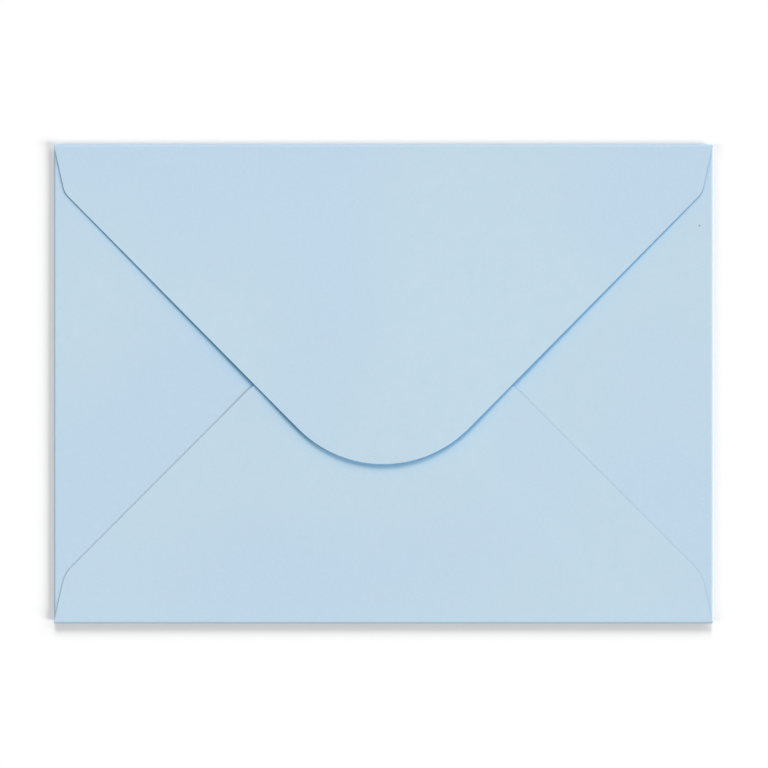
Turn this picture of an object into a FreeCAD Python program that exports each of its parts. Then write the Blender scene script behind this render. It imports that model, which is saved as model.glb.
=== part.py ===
# A closed paper envelope, folded from one die-cut sheet and lying face down.
# The address side rests on the table, the flap side looks up, and the closing flap folds down from +Y.
# Millimetres. The origin is the middle of the face it lies on, with +X along the long side and +Z up.
import FreeCAD
import Part
import math
import os

Vector = FreeCAD.Vector

# Whole envelope and its paper
WIDTH = 183.5
HEIGHT = 133.5
PAPER = 0.15

# How the folded sheet stacks up: inside radius of the side creases, air left between layers that lie
# on each other, and how far the empty pocket bellies up in the middle
SIDE_CREASE_RADIUS = 0.30
LAYER_GAP = 0.12
POCKET_RISE = 0.50

# Closing flap: a deep V with a round point, narrowed by a shoulder at each end of its fold.
# Every flap's depth is counted from the envelope's outer edge, and its shoulder from the corner.
FLAP_DEPTH = 89.1
FLAP_TIP_RADIUS = 33.5
FLAP_SHOULDER_IN = 2.95
FLAP_SHOULDER_DEPTH = 13.55
FLAP_SHOULDER_RADIUS = 5.0

# How far the closing flap curls up by its tip, which takes it over the bottom flap and clear of it
FLAP_LIFT = 0.72

# Bottom flap, stuck down over the side flaps
BOTTOM_DEPTH = 80.0
BOTTOM_TIP_RADIUS = 55.0
BOTTOM_SHOULDER_IN = 2.95
BOTTOM_SHOULDER_DEPTH = 13.9
BOTTOM_SHOULDER_RADIUS = 10.0

# Side flaps, folded in first
SIDE_DEPTH = 72.0
SIDE_TIP_RADIUS = 30.0
SIDE_SHOULDER_IN = 3.0
SIDE_SHOULDER_DEPTH = 13.0
SIDE_SHOULDER_RADIUS = 6.0

# Stuck seams: a band along each slanting edge of the bottom flap, set back from the cut
SEAM_WIDTH = 9.0
SEAM_SETBACK = 2.5

# Height of each layer's underside above the table, at its own fold. The bottom flap and the closing
# flap both lie on the side flaps there, and they overlap only in the middle.
SIDE_LEVEL = PAPER + 2 * SIDE_CREASE_RADIUS
BOTTOM_LEVEL = SIDE_LEVEL + PAPER + LAYER_GAP
FLAP_LEVEL = SIDE_LEVEL + PAPER + LAYER_GAP

# Outside radius of each fold, which wraps all that lies inside it
SIDE_FOLD = (SIDE_LEVEL + PAPER) / 2
BOTTOM_FOLD = (BOTTOM_LEVEL + PAPER) / 2
FLAP_FOLD = (FLAP_LEVEL + PAPER) / 2

# Where the flat panel ends and each fold begins
PANEL_X = WIDTH / 2 - SIDE_FOLD
PANEL_TOP = HEIGHT / 2 - FLAP_FOLD
PANEL_BOTTOM = -HEIGHT / 2 + BOTTOM_FOLD

# A cutting prism clears every layer from just under the table to well over the raised flap
PRISM_HEIGHT = 4 * (FLAP_LEVEL + POCKET_RISE + FLAP_LIFT)


def bernstein(index, share):
    """Weight of one pole of a degree 4 Bezier curve at a share of its length."""
    return math.comb(4, index) * share**index * (1 - share) ** (4 - index)


def bellied_layer(half_x, level, thickness, lift=0.0):
    """A sheet over the panel, flat and level along all four borders and bellied in the middle.
    With lift it also curls up from the closing flap's fold, by lift at that flap's tip."""
    middle_pole = POCKET_RISE / bernstein(2, 0.5) ** 2
    length = PANEL_TOP - PANEL_BOTTOM
    tip_share = (FLAP_DEPTH - FLAP_FOLD) / length
    tip_weight = sum((j - 1) * bernstein(j, tip_share) for j in (2, 3, 4))
    surface = Part.BezierSurface(4, 4)
    surface.increase(4, 4)
    for i in range(5):
        for j in range(5):
            z = level + lift * max(j - 1, 0) / tip_weight
            if i == 2 and j == 2:
                z += middle_pole
            pole = Vector(half_x * (i / 2 - 1), PANEL_TOP - length * j / 4, z)
            surface.setPole(i + 1, j + 1, pole)
    return surface.toShape().extrude(Vector(0, 0, thickness))


def corner_arc(before, corner, after, radius):
    """Start, middle and end of the arc that rounds a corner between two straight runs."""
    into = (corner - before).normalize()
    out = (after - corner).normalize()
    half_turn = into.getAngle(out) / 2
    setback = radius * math.tan(half_turn)
    inward = (out - into).normalize()
    middle = corner + inward * (radius / math.cos(half_turn) - radius)
    return corner - into * setback, middle, corner + out * setback


def tangent_point(start, centre, radius):
    """Where a straight edge from start meets the round tip, on the side away from the fold."""
    reach = start - centre
    angle = math.atan2(reach.y, reach.x) + math.acos(radius / reach.Length)
    return centre + Vector(math.cos(angle), math.sin(angle), 0) * radius


def mirrored(point):
    return Vector(-point.x, point.y, point.z)


class FlapCut:
    """One flap's cut edge, drawn with the envelope's outer edge along X and the tip towards +Y.
    The cut leaves the fold at its full length, draws in to the shoulder and slants to the tip."""

    def __init__(self, root_half, fold, shoulder_in, shoulder_depth, shoulder_radius, depth, tip_radius):
        self.root = Vector(root_half, fold, 0)
        shoulder = Vector(root_half - shoulder_in, shoulder_depth, 0)
        self.tip = Vector(0, depth, 0)
        self.tangent = tangent_point(shoulder, Vector(0, depth - tip_radius, 0), tip_radius)
        self.arc = corner_arc(self.root, shoulder, self.tangent, shoulder_radius)

    def prism(self, origin, turn):
        """An upright prism on the flap's outline, its outer edge at origin, turned about Z."""
        start, middle, end = self.arc
        line = Part.LineSegment
        edges = [
            line(self.root, start),
            Part.Arc(start, middle, end),
            line(end, self.tangent),
            Part.Arc(self.tangent, self.tip, mirrored(self.tangent)),
            line(mirrored(self.tangent), mirrored(end)),
            Part.Arc(mirrored(end), mirrored(middle), mirrored(start)),
            line(mirrored(start), mirrored(self.root)),
            line(mirrored(self.root), self.root),
        ]
        wire = Part.Wire([edge.toShape() for edge in edges])
        return upright(wire, origin, turn)


CLOSING_CUT = FlapCut(
    WIDTH / 2,
    FLAP_FOLD,
    FLAP_SHOULDER_IN,
    FLAP_SHOULDER_DEPTH,
    FLAP_SHOULDER_RADIUS,
    FLAP_DEPTH,
    FLAP_TIP_RADIUS,
)
BOTTOM_CUT = FlapCut(
    WIDTH / 2,
    BOTTOM_FOLD,
    BOTTOM_SHOULDER_IN,
    BOTTOM_SHOULDER_DEPTH,
    BOTTOM_SHOULDER_RADIUS,
    BOTTOM_DEPTH,
    BOTTOM_TIP_RADIUS,
)
SIDE_CUT = FlapCut(
    (PANEL_TOP - PANEL_BOTTOM) / 2,
    SIDE_FOLD,
    SIDE_SHOULDER_IN,
    SIDE_SHOULDER_DEPTH,
    SIDE_SHOULDER_RADIUS,
    SIDE_DEPTH,
    SIDE_TIP_RADIUS,
)


def placed(shape, origin, turn):
    """The shape moved from the origin to a place, turned about Z there."""
    moved = shape.copy()
    moved.Placement = FreeCAD.Placement(origin, FreeCAD.Rotation(Vector(0, 0, 1), turn))
    return moved


def upright(wire, origin, turn):
    """A prism that stands on a flat outline and cuts through every layer."""
    prism = Part.Face(wire).extrude(Vector(0, 0, PRISM_HEIGHT))
    return placed(prism, origin - Vector(0, 0, PRISM_HEIGHT / 4), turn)


def fold(outside_radius, length):
    """A half-turn fold of the sheet, running along Y from the origin and bulging to +X."""
    axis = Vector(0, 1, 0)
    centre = Vector(0, 0, outside_radius)
    outer = Part.makeCylinder(outside_radius, length, centre, axis)
    inner = Part.makeCylinder(outside_radius - PAPER, length, centre, axis)
    block = Part.makeBox(outside_radius, length, 2 * outside_radius)
    return outer.common(block).cut(inner)


def front_panel():
    """The address side, flat on the table between the four folds."""
    length = PANEL_TOP - PANEL_BOTTOM
    return Part.makeBox(2 * PANEL_X, length, PAPER, Vector(-PANEL_X, PANEL_BOTTOM, 0))


def closing_flap():
    """The flap on top, which curls up a little towards its tip."""
    layer = bellied_layer(WIDTH / 2, FLAP_LEVEL, PAPER, FLAP_LIFT)
    crease = placed(fold(FLAP_FOLD, WIDTH), Vector(WIDTH / 2, PANEL_TOP, 0), 90)
    return [layer.common(CLOSING_CUT.prism(Vector(0, HEIGHT / 2, 0), 180)), crease]


def bottom_prism():
    return BOTTOM_CUT.prism(Vector(0, -HEIGHT / 2, 0), 0)


def bottom_flap():
    """The flap that closes the pocket's lower half."""
    layer = bellied_layer(WIDTH / 2, BOTTOM_LEVEL, PAPER)
    crease = placed(fold(BOTTOM_FOLD, WIDTH), Vector(-WIDTH / 2, PANEL_BOTTOM, 0), -90)
    return [layer.common(bottom_prism()), crease]


def side_prism(side):
    """Outline of the flap on one side, 1 for +X and -1 for -X."""
    middle = (PANEL_TOP + PANEL_BOTTOM) / 2
    return SIDE_CUT.prism(Vector(side * WIDTH / 2, middle, 0), 90 * side)


def side_flap(side):
    """The innermost flap on one side."""
    layer = bellied_layer(PANEL_X, SIDE_LEVEL, PAPER)
    start = PANEL_BOTTOM if side > 0 else PANEL_TOP
    turn = 0 if side > 0 else 180
    crease = placed(fold(SIDE_FOLD, PANEL_TOP - PANEL_BOTTOM), Vector(side * PANEL_X, start, 0), turn)
    return [layer.common(side_prism(side)), crease]


def stuck_seam(side):
    """The band where the bottom flap and one side flap are stuck to each other."""
    start, end = BOTTOM_CUT.arc[2], BOTTOM_CUT.tangent
    along = (end - start).normalize()
    inward = Vector(-along.y, along.x, 0)
    near = inward * SEAM_SETBACK
    far = inward * (SEAM_SETBACK + SEAM_WIDTH)
    corners = [start + near, end + near, end + far, start + far]
    if side < 0:
        corners = [mirrored(corner) for corner in corners]
    band = upright(Part.makePolygon(corners + corners[:1]), Vector(0, -HEIGHT / 2, 0), 0)
    joint = bellied_layer(PANEL_X, SIDE_LEVEL + PAPER / 2, BOTTOM_LEVEL - SIDE_LEVEL)
    return joint.common(band).common(side_prism(side)).common(bottom_prism())


def envelope():
    """The whole folded sheet as one solid."""
    pieces = closing_flap() + bottom_flap()
    for side in (-1, 1):
        pieces += side_flap(side)
        pieces.append(stuck_seam(side))
    return front_panel().fuse(pieces).removeSplitter()


def main():
    os.makedirs("parts", exist_ok=True)
    envelope().exportStep("parts/envelope.step")


main()
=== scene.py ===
# A pale blue paper card envelope, closed and lying face down on a white table, seen from straight above.
import math

import bpy
import numpy as np
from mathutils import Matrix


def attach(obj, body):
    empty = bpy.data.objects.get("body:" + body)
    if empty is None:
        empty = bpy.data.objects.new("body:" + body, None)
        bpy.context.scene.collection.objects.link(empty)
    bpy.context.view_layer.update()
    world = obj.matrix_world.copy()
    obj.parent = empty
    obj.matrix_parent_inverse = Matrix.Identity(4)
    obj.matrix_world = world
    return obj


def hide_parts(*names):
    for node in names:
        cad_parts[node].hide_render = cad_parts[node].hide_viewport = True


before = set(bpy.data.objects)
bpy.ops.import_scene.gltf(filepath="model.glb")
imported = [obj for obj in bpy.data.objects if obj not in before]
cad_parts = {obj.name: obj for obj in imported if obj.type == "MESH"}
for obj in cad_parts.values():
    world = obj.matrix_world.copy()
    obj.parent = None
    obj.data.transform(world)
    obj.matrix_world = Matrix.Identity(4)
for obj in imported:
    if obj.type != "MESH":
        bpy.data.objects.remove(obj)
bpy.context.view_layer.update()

# Sizes in millimetres, as in the part
WIDTH = 183.5
HEIGHT = 133.5
PAPER = 0.15
SIDE_CREASE_RADIUS = 0.30
LAYER_GAP = 0.12
POCKET_RISE = 0.50
FLAP_DEPTH = 89.1
FLAP_TIP_RADIUS = 33.5
FLAP_SHOULDER = (2.95, 13.55, 5.0)
FLAP_LIFT = 0.72
BOTTOM_DEPTH = 80.0
BOTTOM_TIP_RADIUS = 55.0
BOTTOM_SHOULDER = (2.95, 13.9, 10.0)
SIDE_DEPTH = 72.0
SIDE_TIP_RADIUS = 30.0
SIDE_SHOULDER = (3.0, 13.0, 6.0)

SIDE_LEVEL = PAPER + 2 * SIDE_CREASE_RADIUS
BOTTOM_LEVEL = SIDE_LEVEL + PAPER + LAYER_GAP
FLAP_LEVEL = SIDE_LEVEL + PAPER + LAYER_GAP
SIDE_FOLD = (SIDE_LEVEL + PAPER) / 2
BOTTOM_FOLD = (BOTTOM_LEVEL + PAPER) / 2
FLAP_FOLD = (FLAP_LEVEL + PAPER) / 2
PANEL_X = WIDTH / 2 - SIDE_FOLD
PANEL_TOP = HEIGHT / 2 - FLAP_FOLD
PANEL_BOTTOM = -HEIGHT / 2 + BOTTOM_FOLD
PANEL_MIDDLE = (PANEL_TOP + PANEL_BOTTOM) / 2

# Scene units are metres
MM = 0.001

# Distance between points of the grids, and between points along the cut edges that show
GRID_STEP = 1.9
EDGE_STEP = 1.6

# The stuck seams: how much of the gap under the bottom flap is pressed out, over what width along its
# slanting edges, and over what further width that fades. It starts from nothing at the fold, is full
# SEAM_START_FADE further up, and fades again from SEAM_END towards the tip.
SEAM_PRESSED = 0.12
SEAM_PRESSED_WIDTH = 14.0
SEAM_FADE = 16.0
SEAM_START_FADE = 8.0
SEAM_END = 56.0
SEAM_END_FADE = 10.0

# Where sheets lie so close that no crevice is open: along the bottom flap's edge, except within
# CLOSING_CLEAR of the closing flap, and in part down to FOLD_HOLD_DEPTH from the closing flap's fold
CLOSED_WIDTH = 2.0
CLOSED_FADE = 2.5
CLOSING_CLEAR = 0.5
FOLD_HOLD = 0.6
FOLD_HOLD_DEPTH = 11.0
FOLD_HOLD_FADE = 13.0

# The die cuts on a slant, so the outer face ends this far inside the inner one. An edge that is held
# down is pressed nearly square.
CUT_SLANT = 0.08
PRESSED_CUT_SLANT = 0.05

# The slow waves that a sheet keeps after it was folded: height, and wavelength along X and along Y
WAVES = ((0.050, 71.0, 113.0, 0.7), (0.040, -97.0, 61.0, 2.1), (0.026, 47.0, -83.0, 4.0))


def smooth_step(x):
    """0 below 0, 1 above 1, and a smooth cubic rise between."""
    x = np.clip(x, 0.0, 1.0)
    return x * x * (3.0 - 2.0 * x)


def belly(x, y, half_x):
    """Rise of every layer over the pocket: a product of two quartic humps, level along all four
    folds, with the paper's slow waves under the same humps."""
    u = np.clip((x / half_x + 1.0) / 2.0, 0.0, 1.0)
    v = np.clip((PANEL_TOP - y) / (PANEL_TOP - PANEL_BOTTOM), 0.0, 1.0)
    hump = 16 * u**2 * (1 - u) ** 2 * 16 * v**2 * (1 - v) ** 2
    wave = sum(a * np.sin(2 * np.pi * (x / p + y / q) + c) for a, p, q, c in WAVES)
    return hump * (POCKET_RISE + wave)


def curl(depth):
    """Lift of the closing flap: level at its fold, then rising as 6s^2 - 4s^3 + s^4 with the share s
    of the way down the envelope, and FLAP_LIFT at the tip."""
    length = PANEL_TOP - PANEL_BOTTOM

    def shape(b):
        s = np.clip((b - FLAP_FOLD) / length, 0.0, 1.0)
        return 6 * s**2 - 4 * s**3 + s**4

    return FLAP_LIFT * shape(depth) / shape(FLAP_DEPTH)


def flap_edge(root_half, fold, shoulder, depth, tip_radius, step):
    """Right half of a flap's cut edge as points (across, depth) from its fold to the middle of its tip:
    a straight shoulder, an arc round the shoulder's corner, a slant, and the arc of the round tip."""
    shoulder_in, shoulder_depth, corner_radius = shoulder
    root = np.array([root_half, fold])
    corner = np.array([root_half - shoulder_in, shoulder_depth])
    centre = np.array([0.0, depth - tip_radius])
    reach = corner - centre
    turn = math.atan2(reach[1], reach[0]) + math.acos(tip_radius / np.hypot(*reach))
    tangent = centre + tip_radius * np.array([math.cos(turn), math.sin(turn)])

    into = (corner - root) / np.hypot(*(corner - root))
    out = (tangent - corner) / np.hypot(*(tangent - corner))
    half_turn = math.acos(np.dot(into, out)) / 2
    setback = corner_radius * math.tan(half_turn)
    arc_start = corner - into * setback
    arc_end = corner + out * setback
    inward = (out - into) / np.hypot(*(out - into))
    arc_centre = corner + inward * corner_radius / math.cos(half_turn)

    def straight(a, b, lead=()):
        count = max(2, round(np.hypot(*(b - a)) / step))
        shares = np.unique(np.concatenate([np.array(lead), np.linspace(0, 1, count + 1)]))
        return a + (b - a) * shares[:, None]

    def round_corner(count):
        start = math.atan2(*(arc_start - arc_centre)[::-1])
        end = math.atan2(*(arc_end - arc_centre)[::-1])
        angles = np.linspace(start, end, count + 1)[:, None]
        return arc_centre + corner_radius * np.hstack([np.cos(angles), np.sin(angles)])

    count = max(6, round(tip_radius * (np.pi / 2 - turn) / step))
    angles = np.linspace(turn, np.pi / 2, count + 1)[:, None]
    tip = centre + tip_radius * np.hstack([np.cos(angles), np.sin(angles)])
    tip[-1, 0] = 0.0
    # The shoulder has close points by the fold, at shares of its length, to hold the fold's line
    shoulder_run = straight(root, arc_start, (0.01, 0.05))
    slant = straight(arc_end, tangent)
    return np.vstack([shoulder_run[:-1], round_corner(8)[:-1], slant[:-1], tip])


def stations(low, high, step):
    """Even stations from low to high, with close ones just inside both ends to hold the fold's line."""
    even = np.linspace(low, high, round((high - low) / step) + 1)
    close = np.array([0.12, 0.5])
    return np.unique(np.concatenate([even, low + close, high - close]))


ACROSS = stations(-PANEL_X, PANEL_X, GRID_STEP)
ALONG = stations(PANEL_BOTTOM, PANEL_TOP, GRID_STEP)
FULL_WIDTH = np.concatenate([[-WIDTH / 2], ACROSS, [WIDTH / 2]])


def grid(point, flat, strain=0.0, held=0.0):
    """One patch of the sheet: its points (x, y, z), its place (x, y) in the flat cut, how far the paper
    is strained by a fold and how far it is held down on its neighbour, both from 0 to 1, all as arrays
    over rows and columns, with the faces wound so that the paper's outside is out."""
    rows, columns = flat.shape[:2]
    number = np.arange(rows * columns).reshape(rows, columns)
    quads = np.stack(
        [number[:-1, :-1], number[:-1, 1:], number[1:, 1:], number[1:, :-1]], axis=-1
    ).reshape(-1, 4)
    corner = flat.reshape(-1, 2)[quads[len(quads) // 2]]
    first, second = corner[1] - corner[0], corner[3] - corner[0]
    if first[0] * second[1] - first[1] * second[0] > 0:
        quads = quads[:, ::-1]
    strain, held = (np.broadcast_to(v, flat.shape[:2]).ravel() for v in (strain, held))
    return point.reshape(-1, 3), np.column_stack([flat.reshape(-1, 2), strain, held]), quads


def panel():
    """Address side: a flat grid half a paper's thickness above the table."""
    x, y = np.meshgrid(ACROSS, ALONG)
    return grid(np.stack([x, y, np.full_like(x, PAPER / 2)], axis=-1), np.stack([x, y], axis=-1))


class Side:
    """One side of the envelope: where its edge lies, which way is inward, and how tight its fold is."""

    def __init__(self, origin, along, inward, fold, level, places):
        self.origin, self.along, self.inward = (np.array(v, float) for v in (origin, along, inward))
        self.fold, self.level, self.places = fold, level, places
        self.middle_radius = fold - PAPER / 2

    def plan(self, across, depth):
        return self.origin + across[..., None] * self.along + depth[..., None] * self.inward

    def crease(self, segments=12):
        """Half-turn fold: a half circle of the sheet's middle radius carried along the edge."""
        turn, across = np.meshgrid(np.linspace(0, np.pi, segments + 1), self.places, indexing="ij")
        r = self.middle_radius
        xy = self.plan(across, self.fold - r * np.sin(turn))
        z = self.fold - r * np.cos(turn)
        flat = self.plan(across, self.fold - r * turn)
        return grid(np.concatenate([xy, z[..., None]], axis=-1), flat, np.sin(turn) ** 2)

    def flat_place(self, across, depth):
        """Place in the flat cut of a point of the folded-in flap."""
        return self.plan(across, 2 * self.fold - np.pi * self.middle_radius - depth)

    def flap(self, edge, rise, held):
        """Folded-in flap: straight rows from the fold to the tip, each as wide as the cut edge allows,
        at the layer's level plus what rise gives at each place, and held down as held says."""
        share = self.places / np.abs(self.places).max()
        across = edge[:, :1] * share[None, :]
        depth = np.repeat(edge[:, 1:], len(share), axis=1)
        xy = self.plan(across, depth)
        x, y = xy[..., 0], xy[..., 1]
        z = self.level + PAPER / 2 + rise(x, y, depth)
        points = np.concatenate([xy, z[..., None]], axis=-1)
        return grid(points, self.flat_place(across, depth), 0.0, held(x, y))


TOP = Side((0, HEIGHT / 2), (1, 0), (0, -1), FLAP_FOLD, FLAP_LEVEL, FULL_WIDTH)
BOTTOM = Side((0, -HEIGHT / 2), (1, 0), (0, 1), BOTTOM_FOLD, BOTTOM_LEVEL, FULL_WIDTH)
RIGHT = Side((WIDTH / 2, PANEL_MIDDLE), (0, 1), (-1, 0), SIDE_FOLD, SIDE_LEVEL, ALONG - PANEL_MIDDLE)
LEFT = Side((-WIDTH / 2, PANEL_MIDDLE), (0, 1), (1, 0), SIDE_FOLD, SIDE_LEVEL, ALONG - PANEL_MIDDLE)

CLOSING_EDGE = flap_edge(WIDTH / 2, FLAP_FOLD, FLAP_SHOULDER, FLAP_DEPTH, FLAP_TIP_RADIUS, EDGE_STEP)
BOTTOM_EDGE = flap_edge(
    WIDTH / 2, BOTTOM_FOLD, BOTTOM_SHOULDER, BOTTOM_DEPTH, BOTTOM_TIP_RADIUS, EDGE_STEP
)
SIDE_EDGE = flap_edge(
    (PANEL_TOP - PANEL_BOTTOM) / 2, SIDE_FOLD, SIDE_SHOULDER, SIDE_DEPTH, SIDE_TIP_RADIUS, GRID_STEP
)


def outside(x, depth, edge):
    """How far a place lies outside a flap's cut edge, square to its slant of about 45 degrees. Less
    than 0 inside."""
    return (np.abs(x) - np.interp(depth, edge[:, 1], edge[:, 0])) * math.sqrt(0.5)


def seam_hold(x, y):
    """How far the stuck seams hold the bottom flap: 1 along its slanting edges, times smooth fades
    inward, towards its fold and towards its tip."""
    depth = y + HEIGHT / 2
    inward = 1 - smooth_step((-outside(x, depth, BOTTOM_EDGE) - SEAM_PRESSED_WIDTH) / SEAM_FADE)
    from_fold = smooth_step((depth - BOTTOM_FOLD) / SEAM_START_FADE)
    to_tip = 1 - smooth_step((depth - SEAM_END) / SEAM_END_FADE)
    return inward * from_fold * to_tip


def near_closing_fold(x, y):
    """FOLD_HOLD by the closing flap's fold, which holds it down on the side flaps, fading smoothly to 0
    further down."""
    return FOLD_HOLD * (1 - smooth_step((HEIGHT / 2 - y - FOLD_HOLD_DEPTH) / FOLD_HOLD_FADE))


def held_down(x, y):
    """1 close along the bottom flap's edge, where it is stuck down and no crevice is open, fading
    smoothly to 0 away from it and beside the closing flap. At least FOLD_HOLD by the closing flap's
    fold."""
    from_seam = np.abs(outside(x, y + HEIGHT / 2, BOTTOM_EDGE))
    from_closing = outside(x, HEIGHT / 2 - y, CLOSING_EDGE)
    stuck = 1 - smooth_step((from_seam - CLOSED_WIDTH) / CLOSED_FADE)
    stuck *= smooth_step((from_closing - CLOSING_CLEAR) / CLOSED_FADE)
    return np.maximum(stuck, near_closing_fold(x, y))


def closing_rise(x, y, depth):
    """Closing flap: the belly plus the curl."""
    return belly(x, y, WIDTH / 2) + curl(depth)


def side_rise(x, y, depth):
    """Side flaps: the belly alone, level at the side folds."""
    return belly(x, y, PANEL_X)


def bottom_rise(x, y, depth):
    """Bottom flap: the belly less the gap that the stuck seams press out."""
    return belly(x, y, WIDTH / 2) - SEAM_PRESSED * seam_hold(x, y)


def folded_sheet():
    """All patches of the one sheet, joined where they meet."""
    patches = [
        panel(),
        TOP.crease(),
        TOP.flap(CLOSING_EDGE, closing_rise, near_closing_fold),
        BOTTOM.crease(),
        BOTTOM.flap(BOTTOM_EDGE, bottom_rise, held_down),
        RIGHT.crease(),
        RIGHT.flap(SIDE_EDGE, side_rise, held_down),
        LEFT.crease(),
        LEFT.flap(SIDE_EDGE, side_rise, held_down),
    ]
    starts = np.cumsum([0] + [len(p[0]) for p in patches[:-1]])
    points = np.vstack([p[0] for p in patches])
    flat = np.vstack([p[1] for p in patches])
    quads = np.vstack([p[2] + start for p, start in zip(patches, starts)])

    # Points of two patches that share a place, and the points of a row that closes on the tip, become
    # one. The odd shift keeps evenly spaced places off the border between two rounding steps.
    rounding_step = 0.001
    odd_shift = 0.377
    key = np.floor(np.hstack([points, flat[:, :2]]) / rounding_step + odd_shift)
    _, keep, same = np.unique(key, axis=0, return_index=True, return_inverse=True)
    return points[keep], flat[keep], same.reshape(-1)[quads]


def flat_cut_area(flat, quads):
    """Area of the flat cut: half the cross product of each quad's diagonals, summed."""
    a = flat[quads[:, 2]] - flat[quads[:, 0]]
    b = flat[quads[:, 3]] - flat[quads[:, 1]]
    return 0.5 * np.abs(a[:, 0] * b[:, 1] - a[:, 1] * b[:, 0]).sum()


def cut_border(points, normals, quads):
    """Directed edges along the sheet's cut border, and each border point's direction into the sheet."""
    start, end = quads.ravel(), np.roll(quads, -1, axis=1).ravel()
    real = start != end
    start, end = start[real], end[real]
    size = len(points)
    border = ~np.isin(start * size + end, end * size + start)
    start, end = start[border], end[border]
    inward = np.zeros_like(points)
    for side in (start, end):
        step = np.cross(normals[side], points[end] - points[start])
        np.add.at(inward, side, step / np.linalg.norm(step, axis=1, keepdims=True))
    length = np.linalg.norm(inward, axis=1, keepdims=True)
    return np.stack([start, end], axis=1), inward / np.maximum(length, 1e-9)


def quads_to_faces(quads):
    """Quads as vertex lists, with the doubled corner of a closed one left out."""
    return [[v for i, v in enumerate(q) if v != q[i - 1]] for q in quads.tolist()]


def paper_mesh(name, points, faces, values, slots):
    """A mesh in metres with its place in the flat cut, in metres, as its UV map, the folds' strain and
    how far it is held down as attributes, and a material slot for each face."""
    mesh = bpy.data.meshes.new(name)
    mesh.from_pydata((points * MM).tolist(), [], faces)
    loops = np.zeros(len(mesh.loops), dtype=np.int32)
    mesh.loops.foreach_get("vertex_index", loops)
    layer = mesh.uv_layers.new(name="flat_cut")
    layer.data.foreach_set("uv", (values[loops, :2] * MM).ravel())
    for column, attribute in ((2, "fold_strain"), (3, "held_down")):
        layer = mesh.attributes.new(attribute, "FLOAT", "POINT")
        layer.data.foreach_set("value", values[:, column].astype(np.float32))
    mesh.polygons.foreach_set("material_index", np.array(slots, dtype=np.int32))
    mesh.polygons.foreach_set("use_smooth", np.ones(len(mesh.polygons), dtype=bool))
    mesh.update()
    return mesh


def sheet_mesh(name):
    """The folded sheet with its thickness: the outer face and the inner face half a thickness to each
    side of the middle, and the slanting cut edge between them. Also the flat cut's size and area."""
    points, values, quads = folded_sheet()
    middle = paper_mesh("middle", points, quads_to_faces(quads), values, [0] * len(quads))
    normals = np.zeros(len(points) * 3, dtype=np.float32)
    middle.vertices.foreach_get("normal", normals)
    bpy.data.meshes.remove(middle)
    normals = normals.reshape(-1, 3).astype(float)

    border, inward = cut_border(points, normals, quads)
    slant = CUT_SLANT + (PRESSED_CUT_SLANT - CUT_SLANT) * values[:, 3:4]
    outer = points + normals * PAPER / 2 + inward * slant
    inner = points - normals * PAPER / 2
    count = len(points)
    rim = np.column_stack([border[:, ::-1], border + count])
    faces = quads_to_faces(quads) + quads_to_faces(quads[:, ::-1] + count) + rim.tolist()
    slots = [0] * (2 * len(quads)) + [1] * len(rim)
    mesh = paper_mesh(name, np.vstack([outer, inner]), faces, np.vstack([values, values]), slots)
    size = (values.max(axis=0) - values.min(axis=0))[:2] * MM
    return mesh, size, flat_cut_area(values[:, :2], quads) * MM**2


def linear(hex_colour):
    """An sRGB hex colour as linear RGBA."""
    c = np.array([int(hex_colour[i : i + 2], 16) for i in (1, 3, 5)]) / 255
    c = np.where(c <= 0.04045, c / 12.92, ((c + 0.055) / 1.055) ** 2.4)
    return (*c.tolist(), 1.0)


def node(tree, kind, settings=None, links=None, values=None):
    """Adds a node with its settings, its incoming links and its unlinked input values. An input is
    named, or numbered where its name isn't unique."""
    made = tree.nodes.new(kind)
    for name, value in (settings or {}).items():
        setattr(made, name, value)
    for name, value in (values or {}).items():
        made.inputs[name].default_value = value
    for name, source in (links or {}).items():
        tree.links.new(source, made.inputs[name])
    return made


# A speck of dirt on the right side flap: where it lies on the flap (across, depth), and its radius
SPECK_PLACE = (44.14 - PANEL_MIDDLE, 3.63)
SPECK_RADIUS = 0.22

# What the paper is made of, in millimetres: the slow drift of the dye over the sheet, the flocks that
# fibres gather in, a fibre's length and width, and the felt's tooth. Real fibres are 0.03 wide and real
# tooth is 0.1 across. Both are drawn coarser here, so that they show.
DYE_DRIFT = 95.0
FLOCK = 4.5
FIBRE_LENGTH = 2.2
FIBRE_WIDTH = 0.24
TOOTH = 0.42

# How high the tooth stands, and how high the paper cockles over its flocks, in millimetres
TOOTH_HEIGHT = 0.004
COCKLE_HEIGHT = 0.010

# Length of the fibre ends that show in the cut edge, in millimetres
CUT_FIBRE = 0.3

# How far out of a crevice, in millimetres, the painted crevice shade reaches; it stands in for light that
# bounces in the crevice and takes on more of the dye
CREVICE = 5.0

# The fibres that lie on top: the way they point, in radians, and their colour
FIBRES = ((0.35, "#C4D9E8"), (-0.6, "#BCD4E4"), (1.2, "#C3D9E8"))


def per_metre(size):
    """Pattern scale that gives features of a size in millimetres."""
    return 1.0 / (size * MM)


def new_material(name):
    material = bpy.data.materials.new(name)
    material.use_nodes = True
    material.node_tree.nodes.clear()
    return material, material.node_tree


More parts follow.
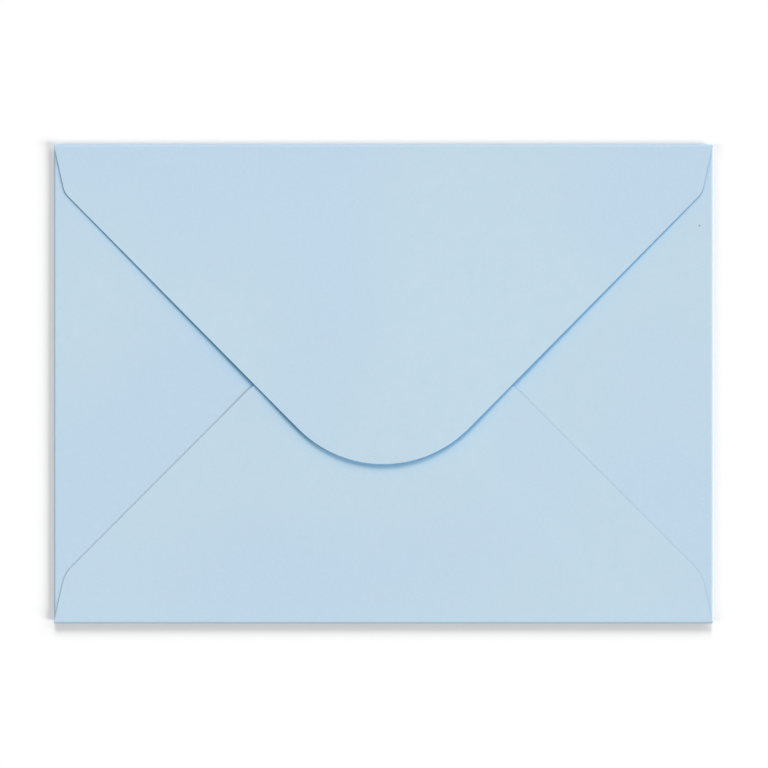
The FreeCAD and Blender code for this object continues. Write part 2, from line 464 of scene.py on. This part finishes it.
def envelope_paper():
    """Wove paper, dyed in the pulp and pressed between felts: an even, matt pale blue that drifts a
    touch towards violet, with single fibres a touch lighter or deeper and a faint cloudiness. Painted
    shade darkens the folds' rounded edges, and a painted saturated blue shade lies in open crevices."""
    material, tree = new_material("dyed_wove_paper")
    flat = node(tree, "ShaderNodeUVMap", {"uv_map": "flat_cut"}).outputs[0]
    plane = {"noise_dimensions": "2D"}
    noise = {}
    for name, size, detail in (("clouds", FLOCK, 3.0), ("tooth", TOOTH, 2.0), ("drift", DYE_DRIFT, 1.0)):
        values = {"Scale": per_metre(size), "Detail": detail}
        noise[name] = node(tree, "ShaderNodeTexNoise", plane, {"Vector": flat}, values).outputs["Fac"]
    reach = {"From Min": 0.42, "From Max": 0.62}
    violet = node(tree, "ShaderNodeMapRange", {}, {"Value": noise["drift"]}, reach)
    layers = [(violet.outputs[0], "#BDD5E8")]

    # A fibre is a spot of noise drawn out to the fibre's length and squeezed to its width
    for turn, tint in FIBRES:
        drawn = {"Rotation": (0, 0, turn), "Scale": (FIBRE_LENGTH * MM, FIBRE_WIDTH * MM, 1)}
        lie = node(tree, "ShaderNodeMapping", {"vector_type": "TEXTURE"}, {"Vector": flat}, drawn)
        values = {"Scale": 1.0, "Detail": 1.0, "Distortion": 0.8}
        strand = node(tree, "ShaderNodeTexNoise", plane, {"Vector": lie.outputs[0]}, values)
        reach = {"From Min": 0.6, "From Max": 0.76}
        shown = node(tree, "ShaderNodeMapRange", {}, {"Value": strand.outputs["Fac"]}, reach)
        layers.append((shown.outputs[0], tint))

    # Painted shade: the folds' rounded edges are painted a deeper blue, most where the bend is sharpest
    strain = node(tree, "ShaderNodeAttribute", {"attribute_name": "fold_strain"})
    painted_fold_shade = node(tree, "ShaderNodeMath", {"operation": "MULTIPLY"}, {0: strain.outputs["Fac"]}, {1: 0.8})
    layers.append((painted_fold_shade.outputs[0], "#93B3C8"))

    # The speck is full to 0.4 of its radius and fades out at 1.3 of it
    place = RIGHT.flat_place(*(np.array(v) for v in SPECK_PLACE)) * MM
    middle = {1: (*place.tolist(), 0.0)}
    away = node(tree, "ShaderNodeVectorMath", {"operation": "DISTANCE"}, {0: flat}, middle)
    reach = {"From Min": SPECK_RADIUS * 0.4 * MM, "From Max": SPECK_RADIUS * 1.3 * MM}
    reach |= {"To Min": 0.95, "To Max": 0.0}
    speck = node(tree, "ShaderNodeMapRange", {}, {"Value": away.outputs["Value"]}, reach)
    layers.append((speck.outputs[0], "#46525E"))

    # Painted shade: where ambient occlusion finds an open crevice between two sheets, the colour is
    # painted a deeper,
    #     # more saturated blue, standing in for the shade there and the light that bounces in it and takes
    #     on more of the
    #     # dye. It is kept off the folds and where the sheets are held together.
    deep = node(tree, "ShaderNodeAmbientOcclusion", {"samples": 8}, {}, {"Distance": CREVICE * MM})
    reach = {"From Min": 0.97, "From Max": 0.86}
    crevice_shade_reach = node(tree, "ShaderNodeMapRange", {}, {"Value": deep.outputs["AO"]}, reach)
    hold = node(tree, "ShaderNodeAttribute", {"attribute_name": "held_down"})
    links = {0: strain.outputs["Fac"], 1: hold.outputs["Fac"]}
    closed = node(tree, "ShaderNodeMath", {"operation": "MAXIMUM"}, links)
    links = {0: crevice_shade_reach.outputs[0], 1: closed.outputs[0]}
    painted_crevice_shade = node(tree, "ShaderNodeMath", {"operation": "SUBTRACT", "use_clamp": True}, links)
    layers.append((painted_crevice_shade.outputs[0], "#98D1F4"))

    tints = {6: linear("#BED6E5"), 7: linear("#C3DAE8")}
    mix = node(tree, "ShaderNodeMix", {"data_type": "RGBA"}, {0: noise["clouds"]}, tints)
    for shown, tint in layers:
        links = {0: shown, 6: mix.outputs[2]}
        mix = node(tree, "ShaderNodeMix", {"data_type": "RGBA"}, links, {7: linear(tint)})

    grain = node(tree, "ShaderNodeBump", {}, {"Height": noise["tooth"]}, {"Distance": TOOTH_HEIGHT * MM})
    links = {"Height": noise["clouds"], "Normal": grain.outputs[0]}
    cockle = node(tree, "ShaderNodeBump", {}, links, {"Distance": COCKLE_HEIGHT * MM})
    links = {"Base Color": mix.outputs[2], "Normal": cockle.outputs[0]}
    bsdf = node(tree, "ShaderNodeBsdfPrincipled", {}, links, {"Roughness": 0.88, "IOR": 1.47})
    node(tree, "ShaderNodeOutputMaterial", {}, {"Surface": bsdf.outputs[0]})
    return material


def cut_edge():
    """The die's cut through the same paper: open fibre ends give a deeper, slightly uneven blue, set dark
    enough to paint the shade line along the flaps' edges. Where it is held down it is painted a dark grey,
    as painted shade for the stuck seams' lines."""
    material, tree = new_material("die_cut_paper_edge")
    place = node(tree, "ShaderNodeTexCoord").outputs["Object"]
    values = {"Scale": per_metre(CUT_FIBRE), "Detail": 2.0}
    ends = node(tree, "ShaderNodeTexNoise", {}, {"Vector": place}, values)
    tints = {6: linear("#4686B6"), 7: linear("#679DC8")}
    mix = node(tree, "ShaderNodeMix", {"data_type": "RGBA"}, {0: ends.outputs["Fac"]}, tints)
    # Painted shade: held-down edges take a dark grey so that the stuck seams show as shade lines
    hold = node(tree, "ShaderNodeAttribute", {"attribute_name": "held_down"})
    links = {0: hold.outputs["Fac"], 6: mix.outputs[2]}
    mix = node(tree, "ShaderNodeMix", {"data_type": "RGBA"}, links, {7: linear("#587489")})
    values = {"Roughness": 0.95, "IOR": 1.47}
    bsdf = node(tree, "ShaderNodeBsdfPrincipled", {}, {"Base Color": mix.outputs[2]}, values)
    node(tree, "ShaderNodeOutputMaterial", {}, {"Surface": bsdf.outputs[0]})
    return material


def seen_by_eye(tree):
    """1 for a ray that carries what the eye sees, straight or by a mirror or a clear piece, else 0."""
    path = node(tree, "ShaderNodeLightPath")
    seen = path.outputs["Is Camera Ray"]
    for name in ("Is Glossy Ray", "Is Transmission Ray"):
        links = {0: seen, 1: path.outputs[name]}
        seen = node(tree, "ShaderNodeMath", {"operation": "ADD", "use_clamp": True}, links).outputs[0]
    return seen


def white_table():
    """Matt white laminate. It throws back 0.6 of its light, but the eye sees it a little over white,
    so the open table is pure white and only the envelope's shadow shows."""
    material, tree = new_material("matt_white_laminate")
    tints = {6: (0.6, 0.6, 0.6, 1), 7: (1.02, 1.02, 1.02, 1)}
    mix = node(tree, "ShaderNodeMix", {"data_type": "RGBA"}, {0: seen_by_eye(tree)}, tints)
    bsdf = node(tree, "ShaderNodeBsdfDiffuse", {}, {"Color": mix.outputs[2]})
    node(tree, "ShaderNodeOutputMaterial", {}, {"Surface": bsdf.outputs[0]})
    return material


def add_envelope():
    mesh, flat_size, flat_area = sheet_mesh("folded_envelope_sheet")
    mesh.materials.append(envelope_paper())
    mesh.materials.append(cut_edge())
    mesh.set_sharp_from_angle(angle=math.radians(30))
    piece = bpy.data.objects.new("folded_envelope_sheet", mesh)
    bpy.context.scene.collection.objects.link(piece)
    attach(piece, "root")
    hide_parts("envelope")


# The table lies under the sheet by the air that paper keeps below it, and reaches far to each side
TABLE_LEVEL = -0.6
TABLE_REACH = 4000.0


def add_table():
    reach = TABLE_REACH * MM
    mesh = bpy.data.meshes.new("table_top")
    corners = [(-reach, -reach), (reach, -reach), (reach, reach), (-reach, reach)]
    mesh.from_pydata([(x, y, TABLE_LEVEL * MM) for x, y in corners], [], [(0, 1, 2, 3)])
    mesh.materials.append(white_table())
    table = bpy.data.objects.new("table_top", mesh)
    bpy.context.scene.collection.objects.link(table)


# Light: soft sources from the top and from the right, weak ones from the corner between them and from
# the left, and an even white room. Each source has its direction clockwise from +Y, its height above
# the table and its width, in degrees, and its share of the light on a level surface. The room's share
# fills that up to LEVEL. The eye sees the room pure white.
LEVEL = 0.985
SOURCES = {
    "top_softbox": (1.0, 27.0, 22.0, 0.32),
    "right_softbox": (114.0, 25.0, 26.0, 0.30),
    "corner_softbox": (50.0, 24.0, 34.0, 0.12),
    "left_softbox": (258.0, 30.0, 30.0, 0.13),
}


def add_light():
    for name, (azimuth, elevation, width, share) in SOURCES.items():
        lamp = bpy.data.lights.new(name, "SUN")
        lamp.angle = math.radians(width)
        lamp.energy = share * math.pi / math.sin(math.radians(elevation))
        sun = bpy.data.objects.new(name, lamp)
        sun.rotation_euler = (math.radians(90 - elevation), 0, math.radians(180 - azimuth))
        bpy.context.scene.collection.objects.link(sun)

    world = bpy.data.worlds.new("white_room")
    bpy.context.scene.world = world
    world.use_nodes = True
    tree = world.node_tree
    tree.nodes.clear()
    room = LEVEL - sum(source[3] for source in SOURCES.values())
    shares = {2: room, 3: 1.0}
    strength = node(tree, "ShaderNodeMix", {"data_type": "FLOAT"}, {0: seen_by_eye(tree)}, shares)
    white = {"Color": (1, 1, 1, 1)}
    light = node(tree, "ShaderNodeBackground", {}, {"Strength": strength.outputs[0]}, white)
    node(tree, "ShaderNodeOutputWorld", {}, {"Surface": light.outputs[0]})


# The photo's frame is 768 pixels wide at 0.27862 mm a pixel, measured at the height of the envelope's
# upper side, and the envelope lies 0.65 pixels left of its centre
FRAME_WIDTH = 213.98
UPPER_SIDE = 1.0
CAMERA_ASIDE = 0.18
LENS = 100.0
SENSOR = 36.0


def add_camera():
    data = bpy.data.cameras.new("camera")
    data.lens = LENS
    data.sensor_width = SENSOR
    camera = bpy.data.objects.new("camera", data)
    height = FRAME_WIDTH * LENS / SENSOR + UPPER_SIDE
    camera.location = (CAMERA_ASIDE * MM, 0.0, height * MM)
    bpy.context.scene.collection.objects.link(camera)
    bpy.context.scene.camera = camera


add_envelope()
add_table()
add_light()
add_camera()
bpy.context.scene.view_settings.view_transform = "Standard"
